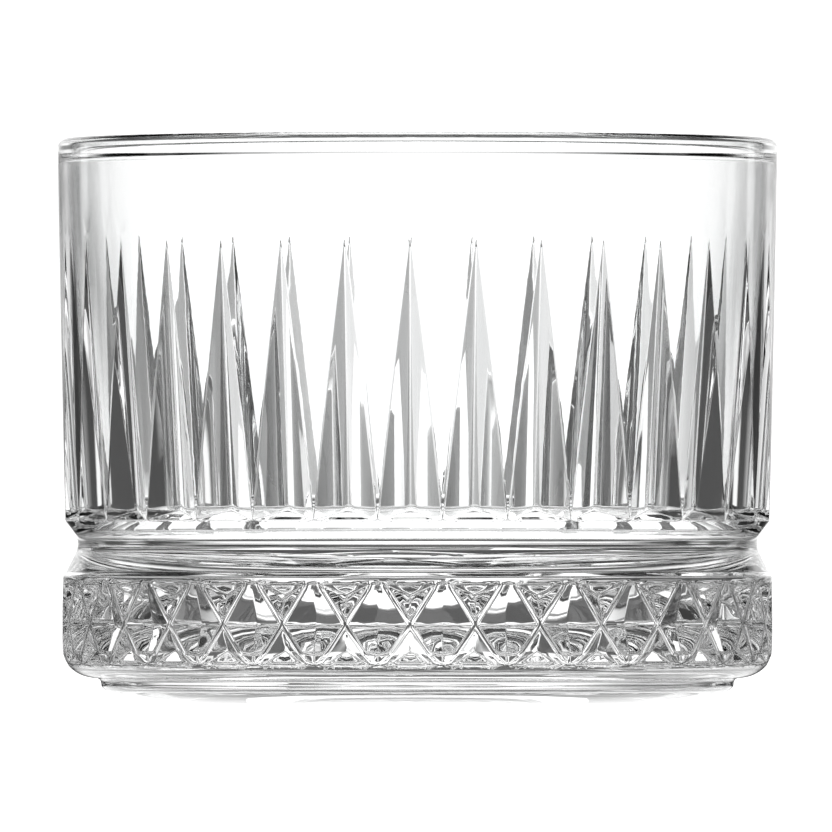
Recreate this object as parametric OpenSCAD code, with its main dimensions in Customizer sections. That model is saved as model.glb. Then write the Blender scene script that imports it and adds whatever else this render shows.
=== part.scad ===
// Low pressed-glass whiskey tumbler: one moulding, drawn as the zones that it is shaped in.
// The zones meet face to face. Z is the glass's axis, and Z = 0 is the surface it stands on.

/* [Overall] */
// Diameter over the rim
rim_d = 86; // [82:0.5:88]
// Height from the table to the top of the lip
glass_h = 67.6; // [66:0.1:69]

/* [Bowl] */
// Thickness of the wall just under the lip
wall_t = 1.25; // [1.1:0.05:1.4]
// Draft of the inner wall, in degrees from the axis
bowl_draft = 3.3; // [3:0.1:3.6]
// Height of the inside floor above the table
floor_z = 20; // [19.5:0.1:21]
// Radius between the inside floor and the inner wall
floor_corner_r = 4; // [4:0.25:5]

/* [Lip] */
// Height of the fire-polished bead
lip_h = 2.6; // [2.2:0.1:3]
// How far the bead stands into the bowl
lip_bead = 0.45; // [0.2:0.05:0.6]

/* [Flutes] */
// Number of tapering flutes, and of diamonds in the band
flute_count = 32; // [30:1:34]
// Height at which a flute runs out to a point
flute_tip_z = 55.4; // [50:0.1:58]
// Height of the deepest point, where the flute stops
flute_foot_z = 23.2; // [23:0.1:24]
// Depth of a flute at its foot, below the wall's surface
flute_depth = 1.7; // [1.2:0.05:1.8]
// Width of a flute at its foot, as a share of the distance between flutes
flute_share = 0.95; // [0.85:0.01:0.98]
// How far a flute is turned off even spacing where the pattern opens towards the sides, in degrees
pattern_opening = 2.2; // [0:0.1:3]
// How far the pattern sits to one side, as an angle at the wall in degrees
pattern_offset = 1.17; // [0:0.01:2]

/* [Waist] */
// Height of the shoulder, where the fluted wall stops
shoulder_z = 22; // [22:0.1:22.4]
// Radius of the waist where it is narrowest
waist_r = 40.6; // [40.3:0.05:41]
// Height at which the waist starts to open upwards
waist_high_z = 20; // [19.6:0.1:20.2]
// Height at which the waist starts to open downwards
waist_low_z = 18.6; // [18.2:0.1:19]

/* [Diamond band] */
// Radius of the band over its ribs
band_r = 42.4; // [42.2:0.05:42.6]
// Height of the band's upper edge
band_top_z = 15.6; // [15.4:0.1:15.8]
// Height of the row of rib crossings
cross_z = 9.7; // [9.4:0.1:10]
// Depth of the pits between the ribs
pit_depth = 1.3; // [0.8:0.05:1.5]
// Width of a rib
rib_w = 0.45; // [0.3:0.05:0.6]

/* [Foot] */
// Radius of the foot ring
foot_r = 37.75; // [37:0.05:38.2]
// Height of the foot ring
foot_h = 3.2; // [3:0.1:3.4]
// Radius of the flat resting face
rest_r = 23.7; // [22:0.1:26]
// Radius of the shallow hollow under the foot
hollow_r = 18; // [15:0.5:20]
// Depth of that hollow
hollow_t = 0.6; // [0.3:0.1:1]

/* [Hidden] */
$fn = 96;
arc_steps = 10;
rim_r = rim_d / 2;
lip_z = glass_h - lip_h;
shoulder_r = 42.2;
band_shoulder_r = band_r - 0.3;
pitch = 360 / flute_count;
pitch_w = 2 * PI * band_r / flute_count;

// inner wall of the bowl
bowl_top_r = rim_r - wall_t;
function bowl_r(z) = bowl_top_r - (lip_z - z) * tan(bowl_draft);
corner_rise = floor_corner_r * (1 - sin(bowl_draft));
corner_z = floor_z + corner_rise;
floor_r = bowl_r(corner_z) - floor_corner_r * cos(bowl_draft);

// rounded inside corner, from t = bowl_draft at the wall to t = 90 at the floor
function corner_at(t) = [floor_r + floor_corner_r * cos(t), floor_z + floor_corner_r * (1 - sin(t))];
shoulder_t = asin(1 - (shoulder_z - floor_z) / floor_corner_r);

// outer wall, which opens slightly from the shoulder to the rim
function wall_r(z) = shoulder_r + (rim_r - shoulder_r) * (z - shoulder_z) / (lip_z - 2 - shoulder_z);

// waist: a groove with a rounded bottom and two straight sides
waist_round = 0.3;
function ramp(x) = (x + sqrt(pow(x, 2) + pow(waist_round, 2))) / 2;
waist_up = (shoulder_r - waist_r) / ramp(shoulder_z - waist_high_z);
waist_down = (band_shoulder_r - waist_r) / ramp(waist_low_z - band_top_z);
function waist_at(z) = waist_r + waist_up * ramp(z - waist_high_z) + waist_down * ramp(waist_low_z - z);

// lower edge of the band: an elliptical roll down to the foot
roll_r = 38.3;
roll_z = 6.6;
function roll_at(t) = [roll_r + (band_r - roll_r) * cos(t), roll_z - (roll_z - foot_h) * sin(t)];

// pits of the band
pit_out = 0.6;
tri_top_z = 14.4;
tri_low_z = 4.9;
tri_pit_top_z = 13.2;
tri_pit_low_z = 6.6;
tri_pit_share = 0.8;

// The pattern stands closest at the front and the back and opens a little towards the two sides.
// turned() is where a repeat stands, and spread() is how wide it is against an even one.
function turned(u) = u - pattern_opening * sin(2 * u) - pattern_offset * cos(u);
function spread(u) = 1 + PI / 180 * (pattern_offset * sin(u) - 2 * pattern_opening * cos(2 * u));

// copies all round, starting a share of the pitch after the front; $wide is each copy's own width
module ring_copies(start = 0) {
    for (i = [0 : flute_count - 1]) {
        u = (i + start) * pitch;
        $wide = spread(u);
        rotate([0, 0, turned(u)]) children();
    }
}

// a pit cutter: corners = [across, height] on the band's surface, with its deepest point at deep
module pit(corners, deep, depth) {
    n = len(corners);
    polyhedron(
        points = concat(
            [for (c = corners) [$wide * c[0], -(band_r + pit_out), c[1]]],
            [for (c = corners) [$wide * c[0], -band_r, c[1]]],
            [[$wide * deep[0], -(band_r - depth), deep[1]]]),
        faces = concat(
            [[for (i = [0 : n - 1]) n - 1 - i]],
            [for (i = [0 : n - 1]) [i, (i + 1) % n, n + (i + 1) % n, n + i]],
            [for (i = [0 : n - 1]) [n + i, n + (i + 1) % n, 2 * n]]));
}

// a flute cutter: two long facets that meet in a line, and a short facet at its foot
module flute() {
    clear = 0.3;
    out_r = shoulder_r + clear;
    deep_r = shoulder_r - flute_depth;
    border_w = flute_share * PI * shoulder_r / flute_count;
    border_drop = shoulder_r - sqrt(pow(shoulder_r, 2) - pow(border_w, 2));
    facet_slope = (flute_depth - border_drop) / border_w;
    lean = (wall_r(flute_tip_z) - deep_r) / (flute_tip_z - flute_foot_z);
    foot_slope = (flute_foot_z - shoulder_z) / flute_depth;
    // the cutter starts above the tip, where its deepest line has left the wall, and stops below the foot
    tip_r = rim_r + 2 * clear;
    tip_z = flute_foot_z + (tip_r - deep_r) / lean;
    foot_z = flute_foot_z - foot_slope * (out_r - deep_r);
    half_w = $wide * (out_r - deep_r + lean * (flute_foot_z - foot_z)) / facet_slope;
    polyhedron(
        points = [
            [0, -tip_r, tip_z],
            [0, -deep_r, flute_foot_z],
            [-half_w, -out_r, foot_z],
            [half_w, -out_r, foot_z]],
        faces = [[0, 3, 2], [0, 2, 1], [0, 1, 3], [1, 2, 3]]);
}

module foot() color("whitesmoke", 0.5) rotate_extrude() polygon(concat(
    [[0, hollow_t], [hollow_r - 2 * hollow_t, hollow_t], [hollow_r, 0], [rest_r, 0]],
    [for (i = [1 : arc_steps]) let (t = 90 - i * 90 / arc_steps)
        [rest_r + (foot_r - rest_r) * cos(t), (foot_h - 0.8) * (1 - sin(t))]],
    [[foot_r + 0.1, foot_h - 0.4], [roll_r, foot_h], [0, foot_h]]));

module diamond_band() {
    half = pitch_w / 2;
    color("gainsboro", 0.5) difference() {
        rotate_extrude() polygon(concat(
            [[0, foot_h]],
            [for (i = [0 : arc_steps]) roll_at(90 - i * 90 / arc_steps)],
            [[band_r, band_top_z - 0.6], [waist_at(band_top_z), band_top_z], [0, band_top_z]]));
        ring_copies() {
            pit([[-0.7 * half, tri_top_z], [0, cross_z + 2 * rib_w], [0.7 * half, tri_top_z]],
                [0, tri_pit_top_z], tri_pit_share * pit_depth);
            pit([[-0.72 * half, tri_low_z], [0.72 * half, tri_low_z], [0, cross_z - 2 * rib_w]],
                [0, tri_pit_low_z], tri_pit_share * pit_depth);
        }
        ring_copies(0.5)
            pit([[-half + rib_w, cross_z], [0, tri_low_z + 0.3], [half - rib_w, cross_z], [0, tri_top_z]],
                [0, cross_z], pit_depth);
    }
}

// ring with the groove outside and the lower half of the bowl's rounded corner inside
module waist() color("whitesmoke", 0.5) rotate_extrude() polygon(concat(
    [for (i = [0 : 2 * arc_steps])
        let (z = band_top_z + i * (shoulder_z - band_top_z) / (2 * arc_steps)) [waist_at(z), z]],
    [for (i = [0 : arc_steps]) corner_at(shoulder_t + i * (90 - shoulder_t) / arc_steps)],
    [[floor_r, band_top_z]]));

module bowl_floor() color("whitesmoke", 0.5)
    translate([0, 0, band_top_z]) cylinder(r = floor_r, h = floor_z - band_top_z);

module fluted_wall() color("azure", 0.5) difference() {
    rotate_extrude() polygon(concat(
        [corner_at(shoulder_t), [shoulder_r, shoulder_z], [rim_r, lip_z - 2], [rim_r, lip_z],
         [bowl_top_r, lip_z]],
        [for (i = [0 : arc_steps - 1]) corner_at(bowl_draft + i * (shoulder_t - bowl_draft) / arc_steps)]));
    ring_copies() flute();
}

module lip() {
    top_r = 1.05;
    color("azure", 0.5) rotate_extrude() polygon(concat(
        [[bowl_top_r, lip_z], [rim_r, lip_z]],
        [for (i = [0 : arc_steps]) let (t = i * 90 / arc_steps)
            [rim_r - top_r + top_r * cos(t), glass_h - top_r + top_r * sin(t)]],
        [for (i = [0 : arc_steps]) let (t = 90 + i * 90 / arc_steps)
            [bowl_top_r - lip_bead + top_r / 2 * (1 + cos(t)), glass_h - top_r + top_r * sin(t)]],
        [[bowl_top_r - lip_bead, lip_z + 0.6]]));
}

foot();
diamond_band();
waist();
bowl_floor();
fluted_wall();
lip();
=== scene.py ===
import bpy
from math import asin, atan, atan2, cos, pi, radians, sin, sqrt, tan
from mathutils import Matrix, Vector


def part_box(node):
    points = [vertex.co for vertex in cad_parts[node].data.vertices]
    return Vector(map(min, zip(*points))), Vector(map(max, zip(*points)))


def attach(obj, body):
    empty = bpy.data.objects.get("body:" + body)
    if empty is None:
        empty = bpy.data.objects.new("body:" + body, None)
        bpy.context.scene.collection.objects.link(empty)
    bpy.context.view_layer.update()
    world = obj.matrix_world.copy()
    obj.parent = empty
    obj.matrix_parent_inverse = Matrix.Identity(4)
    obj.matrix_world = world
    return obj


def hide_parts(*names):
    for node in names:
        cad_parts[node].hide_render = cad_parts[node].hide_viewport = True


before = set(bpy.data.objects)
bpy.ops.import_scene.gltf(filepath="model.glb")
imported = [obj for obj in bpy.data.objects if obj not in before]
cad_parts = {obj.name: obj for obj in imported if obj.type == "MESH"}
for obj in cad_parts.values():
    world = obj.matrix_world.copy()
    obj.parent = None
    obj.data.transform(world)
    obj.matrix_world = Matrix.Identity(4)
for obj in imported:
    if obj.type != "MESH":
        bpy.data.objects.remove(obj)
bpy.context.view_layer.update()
mm = 0.001


def selectNothing():
    if bpy.context.object and bpy.context.object.mode != 'OBJECT':
        bpy.ops.object.mode_set(mode='OBJECT')
    bpy.ops.object.select_all(action='DESELECT')


def selectOnly(piece):
    selectNothing()
    piece.select_set(True)
    bpy.context.view_layer.objects.active = piece


def applyModifier(piece, kind, **settings):
    selectOnly(piece)
    modifier = piece.modifiers.new(kind.title(), kind)
    for name, value in settings.items():
        setattr(modifier, name, value)
    bpy.ops.object.modifier_apply(modifier=modifier.name)


# one wire of a node tree: sums and products on wires add their Math nodes
class Wire:
    def __init__(self, tree, socket=None):
        self.tree = tree
        self.socket = socket

    # any node: its type, its settings, then what goes into its sockets
    def node(self, kind, settings=None, inputs=None, output=0):
        new = self.tree.nodes.new(kind)
        for name, value in (settings or {}).items():
            if name == "stops":
                self.setStops(new.color_ramp, value)
            else:
                setattr(new, name, value)
        for name, value in (inputs or {}).items():
            if isinstance(value, Wire):
                self.tree.links.new(value.socket, new.inputs[name])
            else:
                new.inputs[name].default_value = value
        return Wire(self.tree, new.outputs[output])

    def setStops(self, ramp, stops):
        while len(ramp.elements) < len(stops):
            ramp.elements.new(1)
        for element, (place, grey) in zip(ramp.elements, stops):
            element.position = place
            element.color = (grey, grey, grey, 1)

    def maths(self, operation, other=0.0):
        return self.node("ShaderNodeMath", {"operation": operation}, {0: self, 1: other})

    def __add__(self, other):
        return self.maths('ADD', other)

    def __sub__(self, other):
        return self.maths('SUBTRACT', other)

    def __mul__(self, other):
        return self.maths('MULTIPLY', other)

    def __rsub__(self, other):
        return self.node("ShaderNodeMath", {"operation": 'SUBTRACT'}, {0: other, 1: self})

    __radd__ = __add__
    __rmul__ = __mul__


# heights come from the frame; the rest are the glass's own measures, in mm and degrees
def lowOf(node):
    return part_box(node)[0][2] / mm


def highOf(node):
    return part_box(node)[1][2] / mm


tumbler = {
    "repeats": 32,           # flutes, and diamonds under them
    "columns": 8,            # faces across half a repeat
    "opening": 2.2,          # degrees: the pattern opens a little towards the sides
    "offset": 1.17,          # degrees: and sits a little to one side
    "weld": 0.012,           # points this close become one
    "rimR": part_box("fluted_wall")[1][0] / mm,
    "shoulderR": 42.2,
    "bandR": 42.4,
    "topZ": highOf("lip"),
    "lipZ": lowOf("lip"),
    "shoulderZ": lowOf("fluted_wall"),
    "bandTopZ": lowOf("waist"),
    "footZ": lowOf("diamond_band"),
}
columns = tumbler["columns"]
halfTurn = pi / tumbler["repeats"]
halfWidth = halfTurn * tumbler["bandR"]


def mixed(first, second, share):
    return tuple(a + (b - a) * share for a, b in zip(first, second))


# a row of the half repeat, from its middle to its edge, all at one radius and height
def ring(r, z):
    return [(r * sin(halfTurn * j / columns), r * cos(halfTurn * j / columns), z) for j in range(columns + 1)]


# [r, z] along an ellipse, at even steps of the surface's tilt
def ellipse(centre, across, up, steps, startTilt, endTilt):
    points = []
    for i in range(steps + 1):
        tilt = radians(startTilt + (endTilt - startTilt) * i / steps)
        turn = atan2(up * sin(tilt), across * cos(tilt))
        points.append((centre[0] + across * cos(turn), centre[1] + up * sin(turn)))
    return points


foot = {
    "sideR": 37.75,
    "restR": 23.7,           # outer edge of the flat ring that it stands on
    "hollowR": 18.0,
    "hollow": 0.6,           # depth
    "hollowRings": (0, 14),
    # mm out from the hollow's radius, and the share of its depth there
    "hollowEdge": ((-1.4, 1), (-0.8, 0.8), (-0.1, 0.2), (0.5, 0), (2.5, 0)),
    "side": 0.8,             # height of the side over the rolled edge
    "edgeSteps": 14,
    "crease": ((0.03, 0.5), (0.15, 0.22), (0.37, 0.06)),     # mm out from the side, and under the band
}


def footRows():
    rows = [ring(r, foot["hollow"]) for r in foot["hollowRings"]]
    rows += [ring(foot["hollowR"] + out, share * foot["hollow"]) for out, share in foot["hollowEdge"]]
    rise = tumbler["footZ"] - foot["side"]
    edge = ellipse((foot["restR"], rise), foot["sideR"] - foot["restR"], rise, foot["edgeSteps"], -90, 0)
    rows += [ring(r, z) for r, z in edge]
    rows += [ring(foot["sideR"] + out, tumbler["footZ"] - under) for out, under in foot["crease"]]
    return rows


band = {
    "crossZ": 9.7,           # row where the ribs cross
    "rib": 0.33,             # half width
    "upSlope": 0.70,         # ribs' rise per mm across, over the crossings
    "downSlope": 0.726,      # and under them
    "topZ": 14.4,            # base of the upper triangles
    "lowZ": 4.9,             # base of the lower ones
    "topPitZ": 13.2,
    "lowPitZ": 6.6,
    "trianglePit": 1.1,
    "diamondPit": 1.3,
    "tipRound": 0.8,         # round at the diamonds' lower corner
    "tipSteps": (0, 0.03, 0.13),
    "between": (6.1, 7.6, 8.5, 11.2, 12.2, 13.8),    # rows that keep the facets flat
    "rollR": 38.3,           # lower edge of the band rolls in from here
    "rollZ": 6.6,
    "rollSteps": 14,
    "margin": 0.2,           # plain strip under the lower triangles
    "topStrip": (0.2, 0.5, 0.75, 0.95),    # rows of the one over the upper triangles
    "fallFrom": 0.6,         # where that strip starts to fall away
    "fall": 0.25,
}
# height where the diamonds' lower corner starts to round, and its lowest point
lowTurn = atan(band["downSlope"])
roundZ = band["crossZ"] - (halfWidth - band["rib"]) / band["downSlope"] + band["tipRound"] / sin(lowTurn)
roundTopZ = roundZ - band["tipRound"] * sin(lowTurn)
lowTipZ = roundZ - band["tipRound"]


def bandR(z):
    if z >= band["rollZ"]:
        return tumbler["bandR"]
    drop = min(1, (band["rollZ"] - z) / (band["rollZ"] - tumbler["footZ"]))
    return band["rollR"] + (tumbler["bandR"] - band["rollR"]) * sqrt(1 - drop * drop)


# one height of the diamond band: half a triangle, the rib, and half a diamond
def bandRow(z):
    upper = z >= band["crossZ"]
    slope = band["upSlope"] if upper else band["downSlope"]
    endZ = band["topZ"] if upper else band["lowZ"]
    pitZ = band["topPitZ"] if upper else band["lowPitZ"]
    cornerZ = band["crossZ"] + (1 if upper else -1) * band["rib"] / slope
    ribAt = slope * abs(z - band["crossZ"])
    ribIn = max(0, ribAt - band["rib"])
    ribOut = min(halfWidth, ribAt + band["rib"])
    if not upper and z < roundTopZ:
        ribOut = halfWidth - sqrt(max(0, band["tipRound"] ** 2 - (roundZ - z) ** 2))
    fromCorner = (z - cornerZ) / (pitZ - cornerZ)
    fromEnd = (endZ - z) / (endZ - pitZ)
    pit = band["trianglePit"] * max(0, min(1, fromCorner, fromEnd))
    crease = 0
    if fromCorner > 1:
        crease = min(ribIn, (slope * abs(endZ - band["crossZ"]) - band["rib"]) * (1 - fromEnd))
    if upper:
        peakZ = band["crossZ"] + (halfWidth - band["rib"]) / band["upSlope"]
        diamond = band["diamondPit"] * (peakZ - z) / (peakZ - band["crossZ"])
    else:
        diamond = band["diamondPit"] * max(0, (z - lowTipZ) / (band["crossZ"] - lowTipZ))
    r = bandR(z)
    middle = (0, r - pit, z)
    creaseX = (r - pit) * sin(crease / r)
    creasePoint = (creaseX, sqrt((r - pit) ** 2 - creaseX ** 2), z)
    ribs = (ribIn, (ribIn + ribOut) / 2, ribOut)
    inner, centre, outer = [(r * sin(x / r), r * cos(x / r), z) for x in ribs]
    edge = ((r - diamond) * sin(halfTurn), (r - diamond) * cos(halfTurn), z)
    return [middle, mixed(middle, creasePoint, 0.5), creasePoint, mixed(creasePoint, inner, 0.5), inner,
            centre, outer, mixed(outer, edge, 0.5), edge]


def bandRows():
    roll = ellipse((band["rollR"], band["rollZ"]), tumbler["bandR"] - band["rollR"],
                   band["rollZ"] - tumbler["footZ"], band["rollSteps"], -90, 0)
    plainZ = band["lowZ"] - band["margin"]
    rows = [ring(r, z) for r, z in roll if z < plainZ - band["margin"] / 4]
    rows.append(ring(bandR(plainZ), plainZ))
    heights = [band["lowZ"], band["lowZ"] + band["margin"], roundTopZ, band["lowPitZ"],
               band["crossZ"] - band["rib"] / band["downSlope"], band["crossZ"],
               band["crossZ"] + band["rib"] / band["upSlope"], band["topPitZ"], band["topZ"]]
    heights += [lowTipZ + step for step in band["tipSteps"]]
    heights += band["between"]
    rows += [bandRow(z) for z in sorted(heights)]
    for step in band["topStrip"]:
        fall = band["fall"] * max(0, step - band["fallFrom"]) ** 2
        rows.append(ring(tumbler["bandR"] - fall, band["topZ"] + step))
    return rows


waist = {
    "r": 40.6,
    "highZ": 20.0,           # opens upwards from here
    "lowZ": 18.6,            # and downwards from here
    "round": 0.3,
    "bandEdge": 0.3,         # how far in from the band's radius it meets the band
    "steps": 28,
}


def ramp(x):
    return (x + sqrt(x * x + waist["round"] ** 2)) / 2


def waistR(z):
    upRun = ramp(tumbler["shoulderZ"] - waist["highZ"])
    downRun = ramp(waist["lowZ"] - tumbler["bandTopZ"])
    up = (tumbler["shoulderR"] - waist["r"]) / upRun * ramp(z - waist["highZ"])
    down = (tumbler["bandR"] - waist["bandEdge"] - waist["r"]) / downRun * ramp(waist["lowZ"] - z)
    return waist["r"] + up + down


def waistRows():
    step = (tumbler["shoulderZ"] - tumbler["bandTopZ"]) / waist["steps"]
    heights = [tumbler["bandTopZ"] + step * i for i in range(1, waist["steps"])]
    return [ring(waistR(z), z) for z in heights]


wall = {
    "thick": 1.25,           # under the lip
    "draft": 3.3,            # degrees, inside
    "straight": 2.0,         # upright for the last of its height, outside
    "rows": (56.2, 57.2, 58.6, 60.2, 62, 63.6),      # over the flutes
}
flute = {
    "tipZ": 55.4,
    "footZ": 23.2,
    "depth": 1.7,
    "halfWidth": 3.93,       # at the shoulder
    "curve": 0.16,           # about what the wall's own curve takes off the depth over that width
    "columns": 4,            # of the half repeat's columns
    # heights of the rows, and how far each falls from the flute's middle to its border:
    # they straighten out over the chevron at its foot
    "rows": ((24, 0.85), (25.2, 0.55), (27, 0.2), (30, 0), (34, 0), (38, 0), (42, 0), (46, 0), (49.5, 0),
             (52, 0), (53.8, 0), (54.8, 0)),
}
deepR = tumbler["shoulderR"] - flute["depth"]
facetSlope = (flute["depth"] - flute["curve"]) / flute["halfWidth"]


def wallR(z):
    height = tumbler["lipZ"] - wall["straight"] - tumbler["shoulderZ"]
    share = min(1, (z - tumbler["shoulderZ"]) / height)
    return tumbler["shoulderR"] + (tumbler["rimR"] - tumbler["shoulderR"]) * share


# radius of the flute's deepest line
def valleyR(z):
    tipR = wallR(flute["tipZ"])
    return tipR + (deepR - tipR) * (flute["tipZ"] - z) / (flute["tipZ"] - flute["footZ"])


# half its width where its facets meet the round wall
def borderX(z):
    lean = valleyR(z) * facetSlope
    slant = 1 + facetSlope ** 2
    left = lean ** 2 - slant * (valleyR(z) ** 2 - wallR(z) ** 2)
    return (sqrt(max(0, left)) - lean) / slant


# a point of the plain wall between a flute's border and the repeat's edge
def landPoint(x, z, j):
    start = asin(min(1, x / wallR(z)))
    turn = start + (halfTurn - start) * (j - flute["columns"]) / (columns - flute["columns"])
    return (wallR(z) * sin(turn), wallR(z) * cos(turn), z)


def fluteRows():
    inFlute = flute["columns"]
    z = tumbler["shoulderZ"]
    footX = borderX(z)
    footTurn = asin(footX / wallR(z))
    shoulder = [(wallR(z) * sin(footTurn * j / inFlute), wallR(z) * cos(footTurn * j / inFlute), z)
                for j in range(inFlute)]
    shoulder += [landPoint(footX, z, j) for j in range(inFlute, columns + 1)]
    apex = (0, deepR, flute["footZ"])
    chevron = [mixed(apex, shoulder[inFlute], j / inFlute) for j in range(inFlute)]
    rows = [shoulder, chevron + shoulder[inFlute:]]
    for z, fall in flute["rows"] + ((flute["tipZ"], 0),):
        row = []
        for j in range(inFlute):
            x = borderX(z - fall) * j / inFlute
            here = z - fall * j / inFlute
            row.append((x, valleyR(here) + facetSlope * x, here))
        row += [landPoint(borderX(z - fall), z - fall, j) for j in range(inFlute, columns + 1)]
        rows.append(row)
    return rows


# plain wall over the flutes, where the columns spread out evenly again
def wallRows():
    rows = []
    for i, z in enumerate(wall["rows"]):
        share = min(1, (i + 1) / (len(wall["rows"]) - 1))
        share = share * share * (3 - 2 * share)
        row = []
        for j in range(columns + 1):
            gathered = max(0, halfTurn * (j - flute["columns"]) / (columns - flute["columns"]))
            turn = gathered + (halfTurn * j / columns - gathered) * share
            row.append((wallR(z) * sin(turn), wallR(z) * cos(turn), z))
        rows.append(row)
    return rows


lip = {
    "round": 1.05,           # fire-polished top
    "roundSteps": 9,
    "start": 0.4,            # under its edge outside
    "end": 0.5,              # and inside
    "bead": 0.45,            # how far it stands into the bowl
    "beadRound": 0.655,
    # underside of the bead: mm out from its inner edge, and over the lip's lower edge
    "underside": ((0, 0.75), (0.07, 0.45), (0.2, 0.2), (0.34, 0.02), (0.42, -0.18)),
}
bowl = {
    "floorZ": highOf("bowl_floor"),
    "cornerR": 4.0,          # inside corner
    "cornerSteps": 14,
    "wallRows": (60, 30),
    "floorRings": (24, 0),
}


def bowlR(z):
    return tumbler["rimR"] - wall["thick"] - (tumbler["lipZ"] - z) * tan(radians(wall["draft"]))


def lipRows():
    centreZ = tumbler["topZ"] - lip["round"]
    innerR = tumbler["rimR"] - wall["thick"] - lip["bead"]
    profile = [(tumbler["rimR"], tumbler["lipZ"] - lip["start"])]
    profile += ellipse((tumbler["rimR"] - lip["round"], centreZ), lip["round"], lip["round"],
                       lip["roundSteps"], 0, 90)
    profile += ellipse((innerR + lip["beadRound"], centreZ), lip["beadRound"], lip["round"],
                       lip["roundSteps"], 90, 180)[1:]
    profile += [(innerR + out, tumbler["lipZ"] + rise) for out, rise in lip["underside"]]
    endZ = tumbler["lipZ"] - lip["end"]
    profile.append((bowlR(endZ), endZ))
    return [ring(r, z) for r, z in profile]


def bowlRows():
    draft = radians(wall["draft"])
    cornerZ = bowl["floorZ"] + bowl["cornerR"] * (1 - sin(draft))
    floorR = bowlR(cornerZ) - bowl["cornerR"] * cos(draft)
    rows = [ring(bowlR(z), z) for z in bowl["wallRows"]]
    for i in range(bowl["cornerSteps"] + 1):
        turn = draft + (pi / 2 - draft) * i / bowl["cornerSteps"]
        z = bowl["floorZ"] + bowl["cornerR"] * (1 - sin(turn))
        rows.append(ring(floorR + bowl["cornerR"] * cos(turn), z))
    rows += [ring(r, bowl["floorZ"]) for r in bowl["floorRings"]]
    return rows


# one repeat of the whole section, from under the foot, up the outside and down into the bowl;
# the pressed facets need their corners at exact places, so the grid's points are set row by row
def makeRepeat():
    rows = footRows() + bandRows() + waistRows() + fluteRows() + wallRows() + lipRows() + bowlRows()
    selectNothing()
    bpy.ops.mesh.primitive_grid_add(x_subdivisions=2 * columns, y_subdivisions=len(rows) - 1, size=2)
    repeat = bpy.context.object
    for vertex in repeat.data.vertices:
        j = round(vertex.co.x * columns)
        i = round((vertex.co.y + 1) / 2 * (len(rows) - 1))
        x, y, z = rows[i][abs(j)]
        vertex.co = Vector((x if j > 0 else -x, -y, z)) * mm
    print("one repeat:", len(rows), "rows")
    return repeat


def weldPoints(piece, gap):
    selectOnly(piece)
    bpy.ops.object.mode_set(mode='EDIT')
    bpy.ops.mesh.select_all(action='SELECT')
    bpy.ops.mesh.remove_doubles(threshold=gap * mm)
    bpy.ops.mesh.dissolve_degenerate(threshold=gap * mm / 2)
    bpy.ops.mesh.normals_make_consistent(inside=False)
    bpy.ops.mesh.select_all(action='DESELECT')
    bpy.ops.object.mode_set(mode='OBJECT')


def copyAround(repeat, count):
    parts = [repeat]
    for i in range(1, count):
        part = repeat.copy()
        part.data = repeat.data.copy()
        bpy.context.collection.objects.link(part)
        part.data.transform(Matrix.Rotation(i * 2 * halfTurn, 4, 'Z'))
        parts.append(part)
    selectNothing()
    for part in parts:
        part.select_set(True)
    bpy.context.view_layer.objects.active = repeat
    bpy.ops.object.join()
    weldPoints(repeat, tumbler["weld"])


# open the pattern towards the sides, as it stands on the glass
def spreadPattern(piece):
    for vertex in piece.data.vertices:
        r = sqrt(vertex.co.x ** 2 + vertex.co.y ** 2)
        turn = atan2(vertex.co.x, -vertex.co.y)
        turn -= radians(tumbler["opening"]) * sin(2 * turn) + radians(tumbler["offset"]) * cos(turn)
        vertex.co.x = r * sin(turn)
        vertex.co.y = -r * cos(turn)


softening = {
    "crease": 11.5,          # degrees: sharper edges than this are softened
    "width": 0.13,
    "segments": 2,
    "weld": 0.002,           # where the softening fades to nothing, its points become one again
    "fadeZ": 44,             # from here up, less and less towards the flutes' tips
    "faceWeight": 80,        # how much the large faces hold the shading flat
}


# pressed edges are softened by the fire
def softenEdges(piece):
    selectOnly(piece)
    bpy.ops.object.mode_set(mode='EDIT')
    bpy.ops.mesh.select_mode(type='EDGE')
    bpy.ops.mesh.edges_select_sharp(sharpness=radians(softening["crease"]))
    bpy.ops.object.mode_set(mode='OBJECT')
    mesh = piece.data
    weights = mesh.attributes.new("bevel_weight_edge", 'FLOAT', 'EDGE')
    for edge in mesh.edges:
        if edge.select:
            z = sum(mesh.vertices[v].co.z for v in edge.vertices) / 2 / mm
            fade = (flute["tipZ"] - z) / (flute["tipZ"] - softening["fadeZ"])
            weights.data[edge.index].value = max(0, min(1, fade))
    applyModifier(piece, 'BEVEL', limit_method='WEIGHT', width=softening["width"] * mm,
                  segments=softening["segments"], use_clamp_overlap=False, miter_outer='MITER_SHARP')
    weldPoints(piece, softening["weld"])
    bpy.ops.object.shade_smooth()
    applyModifier(piece, 'WEIGHTED_NORMAL', weight=softening["faceWeight"], keep_sharp=False)


glassFinish = {
    "index": 1.52,
    "swell": 75,             # per metre: slow waves left by the press
    "swellDetail": 1.0,
    "ripple": 480,           # per metre: chill marks
    "rippleDetail": 2.0,
    "rippleShare": 0.12,     # of the waves' height
    "waveHeight": 0.012,     # mm
    "clear": (1.0, 1.0, 1.0, 1),
    "tint": (0.975, 0.985, 0.985, 1),
    "polish": 0.012,         # roughness where the chill marks are strongest
}


def noise(place, scale, detail):
    return place.node("ShaderNodeTexNoise", {}, {"Vector": place, "Scale": scale, "Detail": detail})


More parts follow.
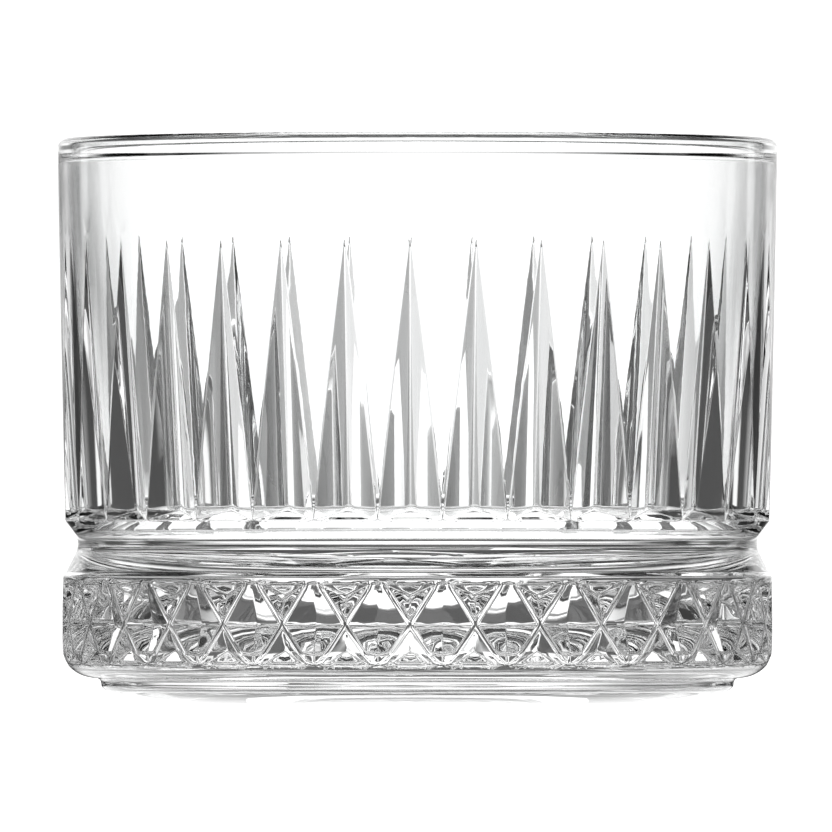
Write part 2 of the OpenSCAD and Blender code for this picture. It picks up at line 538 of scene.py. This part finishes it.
def clearGlass():
    material = bpy.data.materials.new("clearGlass")
    material.use_nodes = True
    tree = material.node_tree
    shader = tree.nodes["Principled BSDF"]
    place = Wire(tree).node("ShaderNodeTexCoord", output="Object")
    swell = noise(place, glassFinish["swell"], glassFinish["swellDetail"])
    ripple = noise(place, glassFinish["ripple"], glassFinish["rippleDetail"])
    tint = swell.node("ShaderNodeMix", {"data_type": 'RGBA'},
                      {0: swell, 6: glassFinish["clear"], 7: glassFinish["tint"]}, 2)
    wave = swell + glassFinish["rippleShare"] * ripple
    bump = wave.node("ShaderNodeBump", {}, {"Height": wave, "Strength": 1.0,
                                            "Distance": glassFinish["waveHeight"] * mm})
    polish = ripple * glassFinish["polish"]
    tree.links.new(tint.socket, shader.inputs["Base Color"])
    tree.links.new(polish.socket, shader.inputs["Roughness"])
    tree.links.new(bump.socket, shader.inputs["Normal"])
    shader.inputs["IOR"].default_value = glassFinish["index"]
    shader.inputs["Transmission Weight"].default_value = 1.0
    return material


glass = makeRepeat()
glass.name = "tumbler"
glass.data.name = "tumbler"
copyAround(glass, tumbler["repeats"])
spreadPattern(glass)
softenEdges(glass)
glass.data.materials.append(clearGlass())
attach(glass, "root")
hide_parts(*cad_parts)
print("glass:", sum(len(face.vertices) - 2 for face in glass.data.polygons), "triangles")

cloth = 0.02                 # light that black cloth gives
studio = {
    "white": 1.3,            # bright enough to burn out behind two walls of glass
    # light at the horizon, by degrees to the right of straight ahead: a white card with greyer ends,
    # and slim white cards at the diagonals and the sides
    "horizon": ((-90, 1), (-85, 1), (-82, cloth), (-49, cloth), (-47, 0.8), (-43, 0.8), (-41, cloth),
                (-34, cloth), (-27, 0.22), (-20, 0.2), (-13, 0.3), (-9, 0.75), (-6, 1), (6, 1), (9, 0.8),
                (14, 0.62), (22, 0.5), (28, 0.3), (34, cloth), (41, cloth), (43, 0.8), (47, 0.8),
                (49, cloth), (82, cloth), (85, 1), (90, 1)),
    "card": ((-33, cloth), (-25, 1), (25, 1), (33, cloth)),   # over the horizon and on the table
    "rise": ((2.5, 0), (5, 1)),          # degrees up where that card takes over
    "cardTop": ((20, 1), (30, cloth)),   # and where it ends
    "tableSize": 60,                     # metres
    "tableGrey": 0.05,
    "tableRoughness": 0.9,
    "under": ((0.042, 1), (0.058, 0)),   # metres from the axis: the table is white under the glass
    "ring": ((0.21, 0.04), (0.33, 1)),   # dark round it
    "far": ((0.58, 0), (0.92, 1)),       # and as the horizon from here on
    "behind": ((-0.02, 0), (0.02, 1)),   # the dark ring and the card lie behind the axis only
    "front": 0.8,                        # light of the table before it
    "glassBounces": 32,
    "glossBounces": 12,
}


# degrees from straight ahead, or from straight back, to the right
def bearing(x, y):
    return x.maths('ARCTAN2', y.maths('ABSOLUTE')) * (180 / pi)


# grey at a place along the stops, each of them a place and its grey
def shade(wire, stops):
    low, high = stops[0][0], stops[-1][0]
    places = [((place - low) / (high - low), grey) for place, grey in stops]
    return wire.node("ShaderNodeValToRGB", {"stops": places}, {0: (wire - low) * (1 / (high - low))})


def blend(share, first, second):
    return (1 - share) * first + share * second


# the eye sees plain white; the glass is lit by the cards
def seenWhite(light):
    eye = light.node("ShaderNodeLightPath", output="Is Camera Ray")
    return blend(eye, light, eye)


def lightTable():
    selectNothing()
    bpy.ops.mesh.primitive_plane_add(size=studio["tableSize"], location=(0, 0, 0))
    table = bpy.context.object
    table.name = "floor"
    material = bpy.data.materials.new("paleTable")
    material.use_nodes = True
    tree = material.node_tree
    shader = tree.nodes["Principled BSDF"]
    place = Wire(tree).node("ShaderNodeTexCoord", output="Object")
    x, y = [place.node("ShaderNodeSeparateXYZ", {}, {0: place}, axis) for axis in (0, 1)]
    away = (x * x + y * y).maths('SQRT')
    turn = bearing(x, y)
    cards = shade(away, studio["ring"]) * shade(turn, studio["card"])
    near = blend(shade(y, studio["behind"]), studio["front"], cards)
    light = blend(shade(away, studio["far"]), near, shade(turn, studio["horizon"]))
    under = shade(away, studio["under"])
    light = blend(under, light, under)
    grey = studio["tableGrey"]
    tree.links.new(seenWhite(light).socket, shader.inputs["Emission Color"])
    shader.inputs["Emission Strength"].default_value = studio["white"]
    shader.inputs["Base Color"].default_value = (grey, grey, grey, 1)
    shader.inputs["Roughness"].default_value = studio["tableRoughness"]
    table.data.materials.append(material)


def lightRoom():
    world = bpy.data.worlds.new("studio")
    bpy.context.scene.world = world
    world.use_nodes = True
    tree = world.node_tree
    way = Wire(tree).node("ShaderNodeTexCoord", output="Generated")
    x, y, z = [way.node("ShaderNodeSeparateXYZ", {}, {0: way}, axis) for axis in (0, 1, 2)]
    turn = bearing(x, y)
    up = z.maths('ARCSINE') * (180 / pi)
    high = shade(turn, studio["card"]) * shade(up, studio["cardTop"])
    light = blend(shade(up, studio["rise"]), shade(turn, studio["horizon"]), high)
    tree.links.new(seenWhite(light).socket, tree.nodes["Background"].inputs["Color"])
    tree.nodes["Background"].inputs["Strength"].default_value = studio["white"]


lightTable()
lightRoom()
print("table and room are lit")

camera = {
    "distance": 55,          # rim radii
    "eyeZ": 19.66,           # mm, just over the waist
    "aimZ": 34.47,           # mm, middle of the picture
    "aside": -0.17,          # mm
    "fill": 0.8654,          # share of the picture's width that the rim takes
    "sensor": 36,            # mm
    "reach": 200,            # metres that it sees
}


def placeCamera():
    rimR = tumbler["rimR"] * mm
    distance = camera["distance"] * rimR
    lens = bpy.data.cameras.new("camera")
    lens.sensor_width = camera["sensor"]
    lens.lens = camera["sensor"] * camera["fill"] * distance / (2 * rimR)
    lens.clip_end = camera["reach"]
    eye = bpy.data.objects.new("camera", lens)
    bpy.context.collection.objects.link(eye)
    eye.location = (camera["aside"] * mm, -distance, camera["eyeZ"] * mm)
    tilt = atan((camera["aimZ"] - camera["eyeZ"]) * mm / distance)
    eye.rotation_euler = (pi / 2 + tilt, 0, 0)
    bpy.context.scene.camera = eye


placeCamera()
bpy.context.scene.view_settings.view_transform = 'Standard'
bpy.context.scene.cycles.max_bounces = studio["glassBounces"]
bpy.context.scene.cycles.transmission_bounces = studio["glassBounces"]
bpy.context.scene.cycles.glossy_bounces = studio["glossBounces"]
